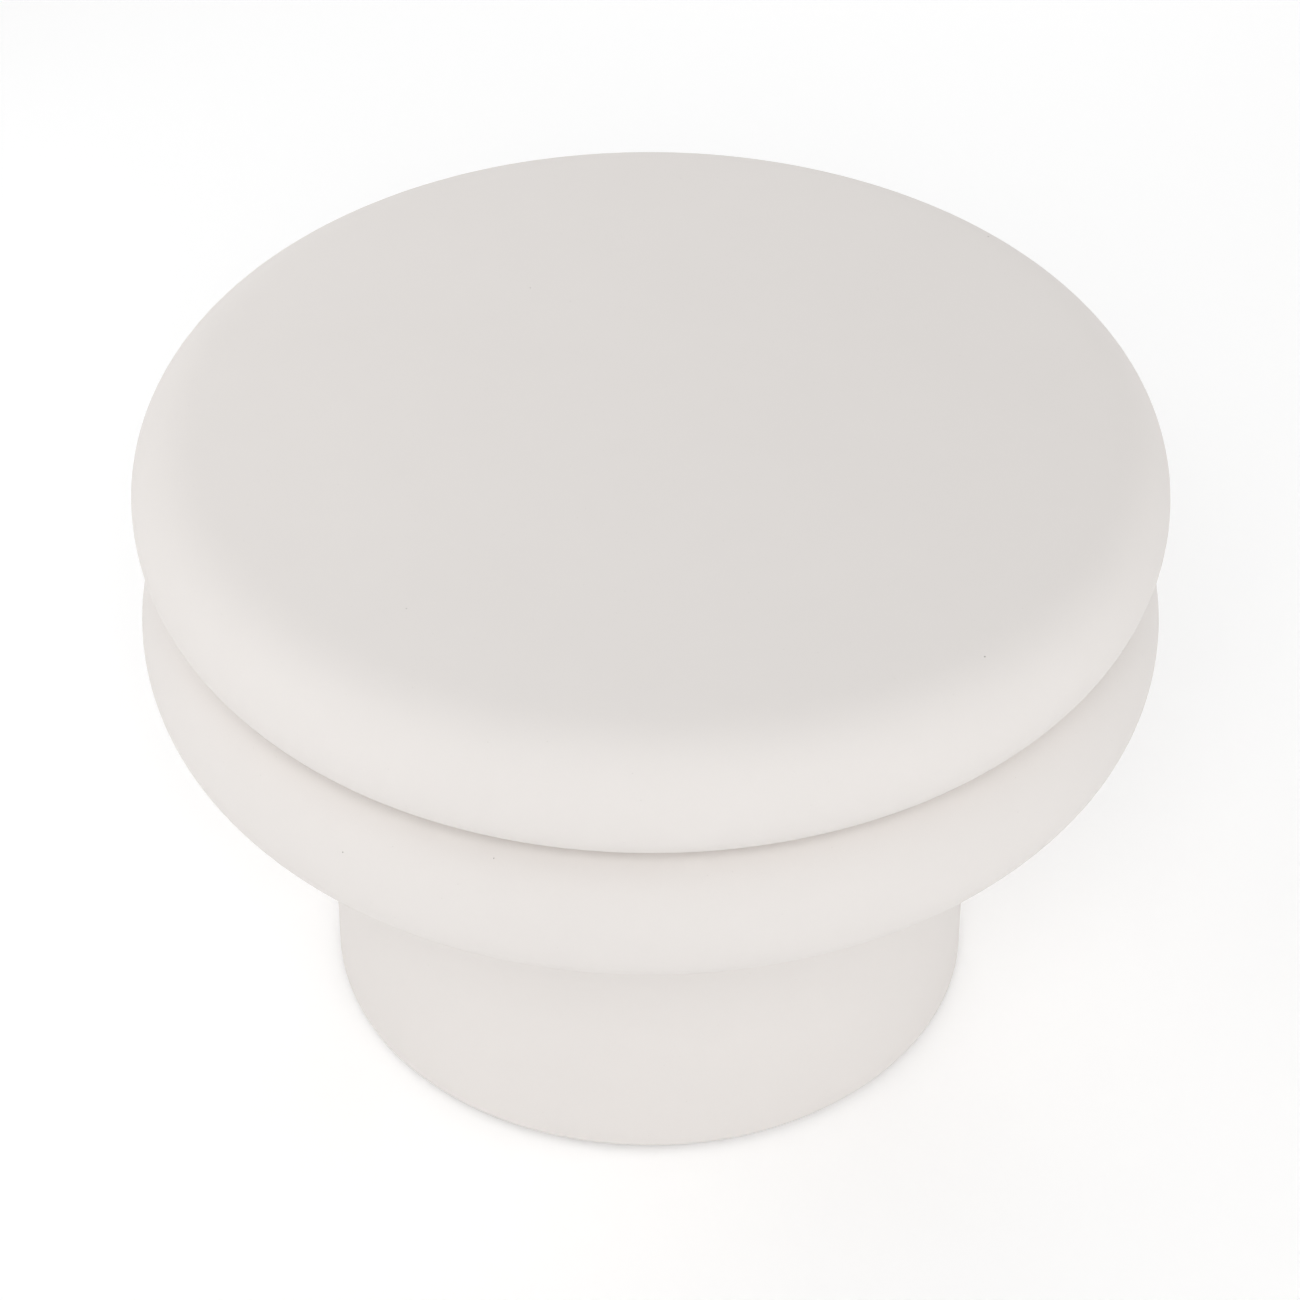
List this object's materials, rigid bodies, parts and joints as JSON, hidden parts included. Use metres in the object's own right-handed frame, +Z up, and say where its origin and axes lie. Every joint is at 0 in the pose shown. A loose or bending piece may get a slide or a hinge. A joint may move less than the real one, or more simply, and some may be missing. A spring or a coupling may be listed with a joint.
{
  "type": "round pedestal table",
  "caption": "Low round pedestal table: two thick round-edged cast discs stacked on a narrower hollow drum, matte warm white, with levelling feet in the drum's foot.",
  "frame": {"origin": "on the floor, on the table's vertical axis, under the foot pads", "axes": "+Z up along the table's axis; the bolts and the feet stand on the diagonals between X and Y"},
  "size_m": [0.6, 0.6, 0.4036],
  "materials": {
    "cast": "matte",
    "foam": "matte",
    "plywood": "satin",
    "zinc": "satin",
    "rubber": "matte"
  },
  "bodies": {
    "root": {"upper_disc": "cast", "lower_disc": "cast", "pedestal": "cast", "upper_core": "foam", "lower_core": "foam", "upper_board": "plywood", "lower_board": "plywood", "base_ring": "plywood", "clamp_bolt_1": "zinc", "clamp_washer_1": "zinc", "spacer_tube_1": "zinc", "threaded_insert_1": "zinc", "tee_nut_1": "zinc", "foot_stem_1": "zinc", "clamp_bolt_2": "zinc", "clamp_washer_2": "zinc", "spacer_tube_2": "zinc", "threaded_insert_2": "zinc", "tee_nut_2": "zinc", "foot_stem_2": "zinc", "clamp_bolt_3": "zinc", "clamp_washer_3": "zinc", "spacer_tube_3": "zinc", "threaded_insert_3": "zinc", "tee_nut_3": "zinc", "foot_stem_3": "zinc", "clamp_bolt_4": "zinc", "clamp_washer_4": "zinc", "spacer_tube_4": "zinc", "threaded_insert_4": "zinc", "tee_nut_4": "zinc", "foot_stem_4": "zinc", "foot_pad_1": "rubber", "foot_pad_2": "rubber", "foot_pad_3": "rubber", "foot_pad_4": "rubber"}
  },
  "joints": []
}
